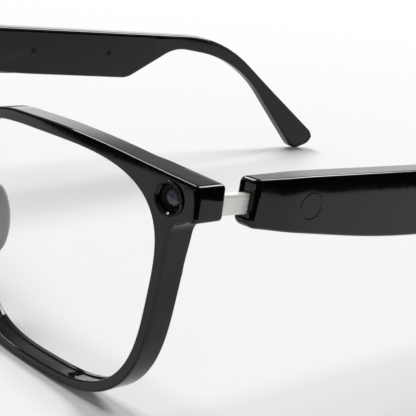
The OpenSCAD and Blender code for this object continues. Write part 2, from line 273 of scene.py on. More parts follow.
UNDER_BRIDGE = [(0, BRIDGE_LOW), (6.4, BRIDGE_LOW, 4.5), (9.4, -14)]
BROW = [(65.4, -14), (66, -3.25, 3.8), (HALF_W, -3.25, 0.7), (HALF_W, 2.75, 0.75),
        (45, 5.05, 160), (23, 3.9, 30), (9, BRIDGE_TOP, 16), (0, BRIDGE_TOP)]


def half_outline(pace=0.05):
    """From the bridge's underside, round the rim and the endpiece, to the bridge's top. Each
    stretch is the outermost of rim, bridge and brow, softened by a running mean of 0.6 mm."""
    under = along(rounded(UNDER_BRIDGE, closed=False), np.arange(0, 13, pace))
    top = rounded(BROW, closed=False, n=40)
    top = along(top, np.arange(0, lengths(top)[-1], pace))
    rim = lens_outline(RIM_W)
    rim_at, rim_r = polar(rim)
    order = np.argsort(rim_at)
    rim, rim_at, rim_r = rim[order], rim_at[order], rim_r[order]
    at, r = polar(under)
    m = np.argmax(r < np.interp(at, rim_at, rim_r, period=360))
    at_top, r = polar(top)
    k = np.argmax(r > np.interp(at_top, rim_at, rim_r, period=360))
    between = (rim_at > at[m]) & (rim_at < at_top[k])
    line = np.concatenate([under[:m], rim[between], top[k:], [[0, BRIDGE_TOP]]])
    line = along(line, np.arange(0, lengths(line)[-1], pace))
    pad = line[1:61][::-1] * [-1, 1], line[-61:-1][::-1] * [-1, 1]
    whole = np.concatenate([pad[0], line, pad[1]])
    bell = np.exp(-np.linspace(-2, 2, 25) ** 2)
    soft = np.stack([np.convolve(whole[:, c], bell / bell.sum(), "same") for c in (0, 1)], 1)[60:-60]
    soft[[0, -1], 0] = 0
    return soft


# %% Points along the outline, closer together round the endpiece
line = half_outline()
closeness = np.where(line[:, 0] > 63.5, 0.16, 0.5)
place = np.concatenate([[0], np.cumsum(np.diff(lengths(line)) / closeness[1:])])
OUTER = along(line, np.interp(np.linspace(0, place[-1], int(place[-1])), place, lengths(line)))
OUTER[[0, -1], 0] = 0
slope = np.gradient(OUTER, axis=0)
OUTER_N = np.stack([slope[:, 1], -slope[:, 0]], 1) / np.linalg.norm(slope, axis=1)[:, None]
OUTER_N[0], OUTER_N[-1] = (0, -1), (0, 1)
print("outline of half the front:", len(OUTER), "points,", round(float(lengths(OUTER)[-1]), 1), "mm")

# %% [markdown]
# Where the half meets its mirror image, the outline is closed by a cut through the bridge.
# The cut gets no rounded edges, and its wall is left out, so the two halves become one skin.

# %% Each outer point and its inner one
cut_z = np.linspace(BRIDGE_TOP - 0.6, BRIDGE_LOW + 0.6, 9)
cut = np.stack([np.zeros(9), cut_z], 1)
Q = np.concatenate([OUTER, cut])
Qn = np.concatenate([OUTER_N, np.zeros((9, 2))])
is_cut = np.arange(len(Q)) >= len(OUTER)
opening = lens_outline(0)
turning = np.roll(opening, -1, 0) - np.roll(opening, 1, 0)
opening_n = np.stack([turning[:, 1], -turning[:, 0]], 1) / np.linalg.norm(turning, axis=1)[:, None]
angle, far = polar(opening)
by_angle = np.argsort(angle)
angle, far, opening_n = angle[by_angle], far[by_angle], opening_n[by_angle]
q_at, q_far = polar(Q)
P = FAN + (Q - FAN) * (np.interp(q_at, angle, far, period=360) / q_far)[:, None]
Pn = np.stack([np.interp(q_at, angle, opening_n[:, c], period=360) for c in (0, 1)], 1)
Pn /= np.linalg.norm(Pn, axis=1)[:, None]
print("pairs round half the front:", len(Q))

# %% [markdown]
# A moulding's edges are rounded, so that it comes out of its mould and feels smooth. The
# profile has a quarter circle at each of its four corners, and a little more of a rounding
# where the endpiece turns to the side.

# %% Lines of the profile
r_in, r_back = 0.3, 0.45
corner_share = ease((Qn[:, 0] - 0.55) / 0.4) * (Q[:, 0] > 69)
r_out = np.where(is_cut, 0, 0.38 + 0.25 * corner_share)
r_rear = np.where(is_cut, 0, r_back)
ARC = np.radians(np.linspace(0, 90, 7))


def ring(x_z, y):
    """One closed line of the profile: its points' x and z, and their y."""
    return np.stack([x_z[:, 0], y, x_z[:, 1]], 1)


def arc_rings(base, n, r, surface, sign):
    """Rounded edge from a wall (angle 0) to a face (90 degrees): the point moves from the wall
    by r(1 - cos a) and comes r(1 - sin a) short of the face."""
    rings = []
    for a in ARC:
        at = base + ((r * (1 - math.cos(a)))[:, None] if np.ndim(r) else r * (1 - math.cos(a))) * n
        rings.append(ring(at, surface(at) + sign * r * (1 - math.sin(a))))
    return rings


def front_surface(at):
    return wrap_y(at[:, 0])


def rear_surface(at):
    return back_y(at[:, 0], at[:, 1])


def face_rings(a, b, surface, steps=(0.04, 0.16, 0.34, 0.5, 0.66, 0.84, 0.96)):
    """Lines between two edges of a face, at shares of the way from one to the other."""
    return [ring(a + (b - a) * f, surface(a + (b - a) * f)) for f in steps]


# %% The profile, carried round the opening
inner_front, outer_front = P + r_in * Pn, Q - r_out[:, None] * Qn
inner_rear, outer_rear = P + r_back * Pn, Q - r_rear[:, None] * Qn
LIP, STEP, FLOOR = 1.22, 3.38, 0.22  # the lens groove: from 1.22 to 3.38 mm deep, 0.22 mm in
rings = arc_rings(P, Pn, r_in, front_surface, 1)
rings += face_rings(inner_front, outer_front, front_surface)
wall_from = len(rings)
rings += arc_rings(Q, -Qn, r_out, front_surface, 1)[::-1]
depth_at_q = rear_surface(Q) - front_surface(Q)
rings += [ring(Q, front_surface(Q) + depth_at_q * share) for share in (0.3, 0.5, 0.7)]
rings += arc_rings(Q, -Qn, r_rear, rear_surface, -1)
wall_to = len(rings)
rings += face_rings(outer_rear, inner_rear, rear_surface)
rings += arc_rings(P, Pn, r_back, rear_surface, -1)[::-1]
grooved = P + FLOOR * Pn
rings += [ring(P, front_surface(P) + STEP), ring(grooved, front_surface(P) + STEP),
          ring(grooved, front_surface(P) + LIP), ring(P, front_surface(P) + LIP)]

# %% Two halves as one mesh
half = np.stack(rings)
n_rings, n_cols = half.shape[:2]
quads = grid_faces(n_rings, n_cols, close_rows=True, close_cols=True)
row = quads[:, 0] // n_cols
in_wall = (row >= wall_from) & (row + 1 < wall_to)
at_cut = is_cut[quads % n_cols].any(1)
quads = quads[~(in_wall & at_cut)]
half = half.reshape(-1, 3)
both = np.concatenate([half, half * [-1, 1, 1]])
both = worn(both)
both[:, 2] = np.maximum(both[:, 2], 0)  # the rims stand on two small flats
points, faces = welded(both, np.concatenate([quads, quads[:, ::-1] + len(half)]))
front = new_piece("glossy_front", points, faces)
print("front before cutting:", len(front.data.polygons), "faces")

# %% [markdown]
# Behind each endpiece is a pocket for the hinge, and through the left one goes the bore that
# holds the camera. They are cut out with simple solids, as a mould's side cores would.

# %% Pockets for the hinges and the bore for the camera
def prism(name, outline, low, high, place):
    """A solid with that outline between two levels. place turns an array of (x, y, level) in
    mm into row points."""
    n = len(outline)
    levels = [np.column_stack([outline, np.full(n, z)]) for z in (low, high)]
    side = grid_faces(2, n, close_cols=True).tolist()
    return new_piece(name, place(np.concatenate(levels)), side + [range(n), range(n, 2 * n)])


def turned_solid(name, profile, place, n=96):
    """A surface of revolution: each (radius, height) of the profile goes round the axis."""
    t = 2 * np.pi * np.arange(n) / n
    profile = np.asarray(profile, float)
    r, h = profile[:, 0][:, None], profile[:, 1][:, None]
    points = np.stack([r * np.cos(t), r * np.sin(t), np.broadcast_to(h, (len(profile), n))], -1)
    faces = grid_faces(len(profile), n, close_cols=True)
    points, faces = welded(place(points.reshape(-1, 3)), faces)
    return new_piece(name, points, faces)


CAM = np.array([65.5, float(wrap_y(65.5)), -0.52])
cam_turn = math.asin(65.5 / WRAP_R)
CAM_AXES = np.array([[math.cos(cam_turn), math.sin(cam_turn), 0], [0, 0, 1],
                     [math.sin(cam_turn), -math.cos(cam_turn), 0]])


def at_camera(p):
    """Points (right, up, out) in mm, measured from where the camera's axis leaves the front."""
    return worn(CAM + np.asarray(p) @ CAM_AXES)


POCKET = [(61.4, 11.9), (64.3, 11.9), (66.75, 12.5), (66.75, 17), (61.4, 17)]
NECK = [(64.3, 11.9), (66.75, 12.5), (66.75, 17), (64.3, 17)]
cutters = [turned_solid("bore", [(0, -3.7), (2.6, -3.7), (2.6, 2), (0, 2)], at_camera)]
for side in SIDES.values():
    mirrored = lambda p, side=side: worn(p * [side, 1, 1])
    cutters += [prism("pocket", POCKET, -2.8, 2.05, mirrored), prism("neck", NECK, -4.3, 0, mirrored)]
carved(front, cutters)
smoothed(front)
print("front:", len(front.data.polygons), "faces")

# %% [markdown]
# ## The arms
# An arm is drawn twice: from the side, where it runs straight, drops to a knee and hooks over
# the ear, and from above, where it thins and curves inwards. Each station along it is a
# rectangle with those heights and widths, and its corners are rounded. The front end is cut
# at a slant to meet the endpiece, so the first stations are sheared by that slant.

# %% Side and plan of an arm
HALF_T = 2.2
MITRE = 2 * HALF_T * SLANT
INNER_CORNER, OUTER_CORNER = 0.9, 1.2  # vertical corners of the front end
ARM_SIDE = rounded([
    (-MITRE, 2.15, 1.1), (10, 2.6, 70), (108.1, 2.6, 42), (150.6, -29.3, 3.2), (141.3, -33.4, 3),
    (115.2, -4.3, 40), (89.7, -1.2, 14), (73, -10.75, 7), (31, -9.95, 200), (-MITRE, -6.1, 2.1)
], n=28)
OUTER_PLAN = [(HALF_T - 1.83, -9), (HALF_T, 7, 50), (HALF_T, 116, 250), (-6.2, 152)]
INNER_PLAN = [(-HALF_T, -9), (-HALF_T, 84, 60), (-1.6, 112, 200), (-9.8, 152)]
ARM_PLAN_OUT = rounded(OUTER_PLAN, closed=False, n=40)
ARM_PLAN_IN = rounded(INNER_PLAN, closed=False, n=40)
last = ARM_SIDE[:, 0].argmax()
tip_u = ARM_SIDE[last, 0]
around = np.roll(ARM_SIDE, -last, axis=0)
front_u = ARM_SIDE[:, 0].min()
split = np.where(around[:, 0] <= front_u + 1e-9)[0]
upper = np.concatenate([around[split.max():], around[:1]])
lower = around[:split.min() + 1][::-1]


def arm_width(u):
    """Inner and outer edge at u. The vertical corners of the front end are rounded: at a
    distance d from the end, the side stands back by r - sqrt(r^2 - (r - d)^2)."""
    inner = np.interp(u, ARM_PLAN_IN[:, 1], ARM_PLAN_IN[:, 0])
    outer = np.interp(u, ARM_PLAN_OUT[:, 1], ARM_PLAN_OUT[:, 0])
    d = np.asarray(u) - front_u
    back = lambda r: r - np.sqrt(np.maximum(r * r - np.maximum(r - d, 0) ** 2, 0))
    return inner + back(INNER_CORNER), outer - back(OUTER_CORNER)


def arm_height(u):
    """Lower and upper edge at u, from the side outline."""
    return np.interp(u, lower[:, 0], lower[:, 1]), np.interp(u, upper[:, 0], upper[:, 1])


# %% Stations, crowded where the outline turns fast
crowded = 1 - np.cos(np.linspace(0, np.pi / 2, 22))
near_end = front_u + 2.6 * crowded
near_tip = tip_u - 4 * crowded - 1e-4
bends = np.concatenate([np.arange(64, 92, 0.6), np.arange(92, tip_u - 4, 1.0)])
stations = np.unique(np.concatenate([near_end, np.arange(2.5, 64, 1.5), bends, near_tip]).round(4))
stations = stations[np.concatenate([[True], np.diff(stations) > 0.004])]
print("stations along an arm:", len(stations))

# %% Stations as rounded rectangles
def arm_skin(side):
    """Grid of stations by points round them. Going round, each corner adds a quarter circle:
    centre + r(cos a, sin a). Its radius is 0.85 mm, or less where the arm is thinner."""
    inner, outer = arm_width(stations)
    low, high = arm_height(stations)
    r = np.minimum(0.85, 0.49 * np.minimum(outer - inner, high - low))
    r_top = np.minimum(0.5, r)
    columns = []
    quarter = np.linspace(0, 90, 7)
    for x, z, sx, sz, radius, first in (
        (outer, high, -1, -1, r_top, 0), (inner, high, 1, -1, r, 90),
        (inner, low, 1, 1, r, 180), (outer, low, -1, 1, r, 270),
    ):
        for a in np.radians(quarter + first):
            out, height = x + radius * (sx + math.cos(a)), z + radius * (sz + math.sin(a))
            columns.append(np.stack([out, stations, height], -1))
    corners = np.stack(columns, 1)
    parts = []
    n = len(quarter)
    for k in range(4):  # lines close to each corner keep the mirror image on the flats flat
        a, b = corners[:, n * k + n - 1], corners[:, n * (k + 1) % (4 * n)]
        parts.append(corners[:, n * k:n * (k + 1)])
        parts += [(a + (b - a) * share)[:, None] for share in (0.06, 0.35, 0.65, 0.94)]
    grid = np.concatenate(parts, 1)
    lead = (grid[..., 0] + HALF_T) * SLANT * (1 - ease((grid[..., 1] - 1) / 9))
    grid[..., 1] += lead
    rows, cols = grid.shape[:2]
    faces = grid_faces(rows, cols, close_cols=True).tolist()
    faces += [list(range(cols))[::-1], list(range((rows - 1) * cols, rows * cols))]
    return on_arm(grid.reshape(-1, 3), side), faces


# %% [markdown]
# The arm is hollow where the electronics are, with a slot for the tongue in its front end and
# a shallow bed for the cover on its inner side. All of it is cut from the lofted skin.

# %% What is cut from an arm
COVER = rounded([(3.4, 1.6, 0.8), (82, 1.6, 1.2), (82, -4.33, 2),
                 (72.7, -9.65, 5), (31, -9.1, 200), (3.4, -5, 0.8)])
BAY = rounded([(4.2, 0.8, 0.5), (80.8, 0.8, 1), (80.8, -3.9, 1.6),
               (72.4, -8.8, 4), (31, -8.2, 200), (4.2, -4.75, 0.5)])
SPOT = (12.1, -2.7)  # middle of the touch spot: along and up
MOUTH = [(-1.55, -3), (1.0, -3), (1.0, 0.42), (-1.55, -0.26)]  # half a millimetre deep, at the slant
BOXES = {  # low and high corner of each box: out, along, up
    "slot": ((-1.36, -3, -4.11), (-0.14, 6, -0.39)),
    "grille_seat": ((-0.8, 67.6, -12), (0.8, 72.4, -8)),
    "button_hole": ((-0.75, 31.9, -12), (0.75, 36.1, -7)),
}


def at_spot(p, side):
    """Points of a turned piece on the touch spot's axis, (along, up, out) from the spot."""
    return on_arm(np.stack([p[:, 2], SPOT[0] + p[:, 0], SPOT[1] + p[:, 1]], 1), side)


def arm_cutters(side):
    """Bed of the cover, bay behind it, slot, grille seat, the mouth round the slot, ring groove,
    sound hole, and on the right arm the button's hole."""
    sideways = lambda p: on_arm(np.asarray(p)[:, [2, 0, 1]], side)
    upwards = lambda p: on_arm(p, side)
    made = [prism("bed", COVER, -5, -1.4, sideways), prism("bay", BAY, -1.6, 1.2, sideways)]
    for name, (low, high) in BOXES.items():
        if name == "button_hole" and side > 0:
            continue
        (x0, y0, z0), (x1, y1, z1) = low, high
        made.append(prism(name, [(x0, y0), (x1, y0), (x1, y1), (x0, y1)], z0, z1, upwards))
    made.append(prism("mouth", MOUTH, -4.75, 1.45, upwards))
    groove = [(2.08, 1.95), (2.52, 1.95), (2.52, 3), (2.08, 3)]
    made.append(turned_solid("groove", groove + groove[:1], lambda p: at_spot(p, side)))
    at_hole = lambda p: on_arm(np.asarray(p) + [0.15, 21, 0], side)
    made.append(turned_solid("sound_hole", [(0, -12), (0.35, -12), (0.35, -6), (0, -6)], at_hole, n=32))
    return made


# %% The two arms
arms = {}
for word, side in SIDES.items():
    arms[word] = new_piece("glossy_arm_" + word, *arm_skin(side))
    carved(arms[word], arm_cutters(side))
    smoothed(arms[word], sharp=30)
    print("arm", word, len(arms[word].data.polygons), "faces")

# %% [markdown]
# ## The ring on each arm
# The touch spot is marked by a fine inlaid ring. It stands 0.05 mm proud and its top is
# round, so it draws a thin light on one side and a thin dark on the other.

# %% Inlaid rings
over = [(2.3 - 0.2 * math.cos(a), 2.17 + 0.08 * math.sin(a)) for a in np.linspace(0, np.pi, 9)]
bead = [(2.1, 2.0), *over, (2.5, 2.0), (2.1, 2.0)]
rings_made = {}
for word, side in SIDES.items():
    ring_piece = turned_solid("inlaid_ring_" + word, bead, lambda p, side=side: at_spot(p, side), n=128)
    rings_made[word] = smoothed(ring_piece, 50)

# %% [markdown]
# ## The camera
# A stack of turned parts: a black ring with an eased crest, a stepped funnel that keeps stray
# light out, a domed front element whose coating's violet reflection is painted into its colour,
# and a thin cover glass over it. A profile turned round the axis is the natural way to make each.

# %% Turned parts of the camera
def eased_profile(corners, r):
    """A closed (radius, height) profile whose corners are all rounded by r."""
    line = rounded([(x, y, r) for x, y in corners], n=6)
    return np.concatenate([line, line[:1]])


bezel = turned_solid("camera_ring", eased_profile([
    (2.16, -3.0), (2.54, -3.0), (2.54, 0.06), (2.84, 0.06), (2.85, 0.26), (2.74, 0.38), (2.62, 0.36),
    (2.58, 0.28), (2.54, 0.34), (2.46, 0.34), (2.42, 0.24), (2.18, -0.04)], 0.025), at_camera, n=160)
smoothed(bezel, 50)
funnel = turned_solid("lens_funnel", eased_profile([
    (0.8, -3), (2.1, -3), (2.1, -0.5), (1.95, -0.52), (1.9, -0.64), (1.72, -0.66), (1.66, -0.86),
    (1.66, -1.9), (0.8, -1.9)], 0.02), at_camera)
smoothed(funnel, 40)
GLASS_R, DOME_LOW, DOME_H = 1.64, -1.2, 0.68
quarter = np.linspace(0, np.pi / 2, 20)[:-1]
dome = [(GLASS_R * math.cos(a), DOME_LOW + DOME_H * math.sin(a)) for a in quarter]
element = turned_solid("front_element", [
    (0, -1.86), (GLASS_R, -1.86), *dome, (0, DOME_LOW + DOME_H)], at_camera)
smoothed(element, 50)
pane = turned_solid("camera_pane", [
    (0, -0.45), (2.06, -0.45), (2.1, -0.41), (2.1, -0.14), (2.06, -0.1), (0, -0.1)], at_camera)
smoothed(pane, 50)

# %% [markdown]
# ## The nose pads
# Each pad is a soft silicone leaf behind the nasal side of a rim. A leaf has no flats at all,
# so it is drawn as a closed surface of its own: an oval section that swells and thins from
# top to bottom.

# %% Silicone leaves
def nose_leaf(side, rows=40, cols=56):
    """Ovals stacked from top to bottom. At share t of the height the oval is sin(pi t)^0.5 of
    its full size, its middle leans backwards, and it is thinner than it is long."""
    t = (1 - np.cos(np.linspace(0, np.pi, rows))) / 2
    a = 2 * np.pi * np.arange(cols) / cols
    size = np.sin(np.pi * np.clip(t, 1e-6, 1 - 1e-6)) ** 0.42
    reach, thick = 3.0 * size, 1.4 * size
    length = np.sign(np.cos(a)) * np.abs(np.cos(a)) ** 0.8
    width = np.sign(np.sin(a)) * np.abs(np.sin(a)) ** 0.8
    way, over = np.array([0.62, 0.785]), np.array([0.785, -0.62])
    middle = np.stack([10.9 + 0.7 * (t - 0.5), 7.3 + 0 * t], 1)
    lengthways = reach[:, None, None] * length[:, None] * way
    crossways = thick[:, None, None] * width[:, None] * over
    plan = middle[:, None] + lengthways + crossways
    height = np.broadcast_to((-15.2 - 14.4 * t)[:, None], (rows, cols))
    points = np.concatenate([plan, height[..., None]], -1).reshape(-1, 3)
    faces = grid_faces(rows, cols, close_cols=True).tolist()
    faces += [list(range(cols))[::-1], list(range((rows - 1) * cols, rows * cols))]
    return worn(points * [side, 1, 1]), faces


pads = {}
for word, side in SIDES.items():
    pads[word] = smoothed(new_piece("silicone_pad_" + word, *nose_leaf(side)), 60)

# %% [markdown]
# ## Small metal and inner parts
# The tongue, the bracket, the screws, the covers and the boards are plain shapes already. What
# they lack is the eased edge that every stamped or moulded part has, and a bevel on a cleaned
# copy of the part's own mesh gives that.

# %% Eased copies of the part's nodes
def eased(node, edge_mm, segments=3):
    """A copy of a node with its doubles merged, its flats joined and its edges bevelled."""
    work = bmesh.new()
    work.from_mesh(frame["nodes"][node].data)
    bmesh.ops.remove_doubles(work, verts=work.verts, dist=1e-6)
    bmesh.ops.dissolve_limit(work, angle_limit=math.radians(0.5), verts=work.verts, edges=work.edges)
    mesh = bpy.data.meshes.new("eased_" + node)
    work.to_mesh(mesh)
    work.free()
    piece = bpy.data.objects.new("eased_" + node, mesh)
    bpy.context.scene.collection.objects.link(piece)
    mesh.shade_smooth()
    mesh.set_sharp_from_angle(angle=math.radians(30))
    bevel = piece.modifiers.new("eased edges", "BEVEL")
    bevel.width, bevel.segments, bevel.limit_method = edge_mm / 1000, segments, "ANGLE"
    bevel.angle_limit, bevel.harden_normals = math.radians(35), True
    return piece


EDGE_MM = {
    "plug": 0.09, "hinge_bracket": 0.08, "hinge_screw": 0.05, "arm_cover": 0.12, "cover_screws": 0.05,
}
eased_pieces = {}
for name, edge_mm in EDGE_MM.items():
    for word in SIDES:
        eased_pieces[name + "_" + word] = eased(name + "_" + word, edge_mm)
eased_pieces["function_button"] = eased("function_button", 0.12)
print("eased:", ", ".join(sorted(eased_pieces)))

# %% [markdown]
# ## Materials
# A material starts from the real stuff and how its surface was made. Colours are written as
# sRGB hex values, as a colour picker shows them, and one function turns them to linear light.

# %% Colours and nodes
def srgb(hex_code, alpha=1.0):
    """#rrggbb to linear light: c/12.92 below 0.04045, else ((c + 0.055) / 1.055)^2.4."""
    c = np.array([int(hex_code[i:i + 2], 16) for i in (1, 3, 5)]) / 255
    return (*np.where(c <= 0.04045, c / 12.92, ((c + 0.055) / 1.055) ** 2.4).tolist(), alpha)


def add(tree, kind, settings=None, **inputs):
    """Adds a node. settings are its own choices. An input is named by its socket, with _ for
    a space, or by i and its number, and is a value or another node's output."""
    made = tree.nodes.new(kind)
    for name, value in (settings or {}).items():
        setattr(made, name, value)
    for name, value in inputs.items():
        numbered = name[0] == "i" and name[1:].isdigit()
        socket = made.inputs[int(name[1:]) if numbered else name.replace("_", " ")]
        if isinstance(value, bpy.types.NodeSocket):
            tree.links.new(value, socket)
        else:
            socket.default_value = value
    return made


def start(name):
    """A new material with its shader: returns the material, its tree and the shader."""
    material = bpy.data.materials.new(name)
    material.use_nodes = True
    return material, material.node_tree, material.node_tree.nodes["Principled BSDF"]


# %% Patterns
def grain(tree, per_mm, detail=2.0, stretch=(1, 1, 1)):
    """Noise on the object's own coordinates, with so many grains to the millimetre."""
    where = add(tree, "ShaderNodeTexCoord").outputs["Object"]
    placed = add(tree, "ShaderNodeMapping", Vector=where, Scale=[s * 1000 for s in stretch])
    return add(tree, "ShaderNodeTexNoise", Vector=placed.outputs[0], Scale=per_mm, Detail=detail).outputs[0]


def spread(tree, value, low, high):
    """Maps a noise's middle half, 0.3 to 0.7, to the range from low to high."""
    return add(tree, "ShaderNodeMapRange", i0=value, i1=0.3, i2=0.7, i3=low, i4=high).outputs[0]


def bump(tree, height, strength, depth_mm):
    """A normal tilted by a height pattern that is depth_mm deep."""
    return add(tree, "ShaderNodeBump", Height=height, Strength=strength, Distance=depth_mm / 1000).outputs[0]


# %% [markdown]
# The front and arms are a tough polyamide, moulded and tumbled until it shines. It is nearly
# black, and its shine is a little weaker than that of most plastics. A moulded gloss is never
# quite flat: a faint waviness of one to two millimetres makes its mirror images swim.

# %% Moulded polyamide, polished
def polished_polyamide(name):
    material, tree, shader = start(name)
    shader.inputs["Base Color"].default_value = srgb("#050506")
    shader.inputs["IOR"].default_value = 1.4
    shader.inputs["Specular IOR Level"].default_value = 0.5
    rough = spread(tree, grain(tree, 0.9, 3), 0.035, 0.065)
    tree.links.new(rough, shader.inputs["Roughness"])
    tree.links.new(bump(tree, grain(tree, 0.45, 1), 0.12, 0.01), shader.inputs["Normal"])
    return material


gloss = polished_polyamide("polished black polyamide")

# %% [markdown]
# The covers on the inner sides are the same stuff from a spark-eroded mould: a fine satin
# grain of about a tenth of a millimetre that scatters the shine.

# %% Moulded polyamide, satin
def satin_polyamide(name, colour, per_mm=9.0, low=0.34, high=0.46):
    material, tree, shader = start(name)
    shader.inputs["Base Color"].default_value = srgb(colour)
    shader.inputs["IOR"].default_value = 1.45
    tree.links.new(spread(tree, grain(tree, per_mm / 3, 3), low, high), shader.inputs["Roughness"])
    tree.links.new(bump(tree, grain(tree, per_mm), 0.25, 0.01), shader.inputs["Normal"])
    return material


satin = satin_polyamide("satin black polyamide", "#101011")
matt = satin_polyamide("matt black polyamide", "#08080a", 6, 0.5, 0.65)
housing = satin_polyamide("moulded connector housing", "#18181a")
switch_grey = satin_polyamide("grey switch body", "#b4b6b8")
inlay = satin_polyamide("satin black inlay", "#0a0a0b", 8, 0.12, 0.2)

# %% [markdown]
# The tongue is stainless steel, ground along its length and buffed. Grinding leaves lines
# that run with the tongue and blur the shine across them.

# %% Ground and turned metals
def ground_metal(name, colour, stretch, low, high, lines_per_mm=7.0, metallic=1.0):
    """Metal with fine lines: seven to the millimetre, drawn out where a stretch is below 1.
    The lines are up to 14% darker than the metal between them, and change its roughness."""
    material, tree, shader = start(name)
    shader.inputs["Metallic"].default_value = metallic
    lines = grain(tree, lines_per_mm, 2, stretch)
    tint = add(tree, "ShaderNodeMix", {"data_type": "RGBA"}, i0=spread(tree, lines, 0.0, 1.0),
               i6=srgb(colour), i7=tuple(0.86 * c for c in srgb(colour)[:3]) + (1.0,))
    tree.links.new(tint.outputs[2], shader.inputs["Base Color"])
    tree.links.new(spread(tree, lines, low, high), shader.inputs["Roughness"])
    return material


# The tongue's buffed face scatters so much light that it looks half white and half metal.
tongue_steel = ground_metal(
    "ground stainless steel", "#f6f4f0", (1, 0.06, 1), 0.4, 0.5, metallic=0.35)
# The hinge was stamped and brushed upright, and shines in a soft band.
hinge_steel = ground_metal("satin stainless steel", "#b9babc", (1, 1, 0.1), 0.28, 0.4)
# A screw was turned, and keeps the tool's lines.
screw_steel = ground_metal("turned steel", "#8e8f92", (1, 0.2, 1), 0.25, 0.4)
# Contacts were plated, which leaves an even, warm and rather sharp shine.
gold = ground_metal("gold plating", "#e2b765", (1, 1, 1), 0.15, 0.25)
# A battery's pouch is rolled foil under a film, with broad and cloudy lines.
foil = ground_metal("aluminium pouch foil", "#b9bcc0", (1, 0.4, 1), 0.3, 0.5, 2.0)
# Black oxide leaves steel dark, with a low and oily shine.
black_steel = ground_metal("black oxide steel", "#2a2a2c", (1, 0.3, 1), 0.35, 0.5)

# %% [markdown]
# Silicone is cloudy: light goes in and comes out softened, so a pad looks paler at its thin
# edge. The boards are glass fibre under a green solder mask, with the copper just showing
# through it as a lighter green. The flex is a film of amber polyimide, smooth and even.

# %% Silicone, boards and film
silicone, tree, shader = start("cloudy silicone")
shader.inputs["Base Color"].default_value = srgb("#8b8b8a")
shader.inputs["IOR"].default_value = 1.41
shader.inputs["Subsurface Weight"].default_value = 0.25
shader.inputs["Subsurface Radius"].default_value = (0.002, 0.002, 0.002)
tree.links.new(spread(tree, grain(tree, 2.5, 3), 0.3, 0.42), shader.inputs["Roughness"])

board, tree, shader = start("green solder mask")
tracks = add(tree, "ShaderNodeMix", {"data_type": "RGBA"}, i0=spread(tree, grain(tree, 1.6, 0), 0.0, 1.0),
             i6=srgb("#14432a"), i7=srgb("#1f5c38"))
tree.links.new(tracks.outputs[2], shader.inputs["Base Color"])
shader.inputs["Roughness"].default_value = 0.3

film, tree, shader = start("amber polyimide film")
amber = add(tree, "ShaderNodeMix", {"data_type": "RGBA"}, i0=grain(tree, 3),
            i6=srgb("#8a4f14"), i7=srgb("#b5752a"))
tree.links.new(amber.outputs[2], shader.inputs["Base Color"])
shader.inputs["Roughness"].default_value = 0.25

# %% [markdown]
# The lenses are clear plastic with an anti-reflective coating. Almost nothing shows of such a
# lens but a faint sheen, so it is nearly transparent. The camera's front element is coated
# too, and that coating's violet reflection is painted into its colour as rings on a dark ground,
# darker at the middle and at the rim. The pane over it is polished glass, which shows only as a faint shine.

# %% Clear lenses and the camera's glass
clear, tree, shader = start("coated clear lens")
shader.inputs["Base Color"].default_value = srgb("#cfd4d8")
shader.inputs["Roughness"].default_value = 0.02
shader.inputs["IOR"].default_value = 1.5
shader.inputs["Alpha"].default_value = 0.012

pane_glass, tree, shader = start("camera cover glass")
shader.inputs["Base Color"].default_value = srgb("#101014")
shader.inputs["Roughness"].default_value = 0.01
shader.inputs["Alpha"].default_value = 0.06


# %% The coating's violet reflection, painted into the colour
def colour_ramp(tree, value, stops):
    """A ramp that gives the colour of each stop, a pair of a place from 0 to 1 and a colour."""
    ramp = add(tree, "ShaderNodeValToRGB", Fac=value)
    while len(ramp.color_ramp.elements) < len(stops):
        ramp.color_ramp.elements.new(0.5)
    for element, (at, colour) in zip(ramp.color_ramp.elements, stops):
        element.position, element.color = at, colour
    return ramp.outputs[0]


def vector_math(tree, operation, *vectors):
    inputs = {"i" + str(k): vector for k, vector in enumerate(vectors)}
    return add(tree, "ShaderNodeVectorMath", {"operation": operation}, **inputs).outputs


# Painted reflection: base colours from the axis to the rim, a violet-grey ring between a darker middle and rim
PAINTED_COATING_REFLECTION = ((0.0, "#17141a"), (0.25, "#373240"), (0.5, "#4c4656"),
           (0.68, "#40373a"), (0.85, "#221b1a"), (1.0, "#0a0808"))


def coated_glass(name):
    """Painted reflection: rings of colour round the camera's axis stand in for the coating's violet
    reflection, darker at the middle and at the rim. A point's distance from the axis is the length
    of the cross product of the way to it and the axis, and it looks up a colour between the
    middle and the rim."""
    material, tree, shader = start(name)
    where = add(tree, "ShaderNodeTexCoord").outputs["Object"]
    way = vector_math(tree, "SUBTRACT", where, worn(CAM).tolist())[0]
    across = vector_math(tree, "CROSS_PRODUCT", way, (CAM_AXES[2] @ WEAR).tolist())[0]
    distance = vector_math(tree, "LENGTH", across)["Value"]
    share = add(tree, "ShaderNodeMapRange", i0=distance, i1=0.0, i2=GLASS_R / 1000).outputs[0]
    colour = colour_ramp(tree, share, [(at, srgb(code)) for at, code in PAINTED_COATING_REFLECTION])
    tree.links.new(colour, shader.inputs["Base Color"])
    shader.inputs["Roughness"].default_value = 0.04
    shader.inputs["IOR"].default_value = 1.6
    return material


# The front element's base colour paints the coating's violet reflection
painted_reflection_glass = coated_glass("violet coated glass")

# %% [markdown]
# ## Dressing
# Each new piece gets its material and the body it moves with, and the part nodes it stands for are hidden.
# The nodes that are kept are dressed by the material slot that the record gives them.

# %% Who rides on what
def dress(piece, material, body, slot, *nodes):
    """Gives a piece its one material and its body, and hides the part nodes that it stands for. The slot is not
    used.
    """
    piece.data.materials.clear()
    piece.data.materials.append(material)
    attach(piece, body)
    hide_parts(*nodes)


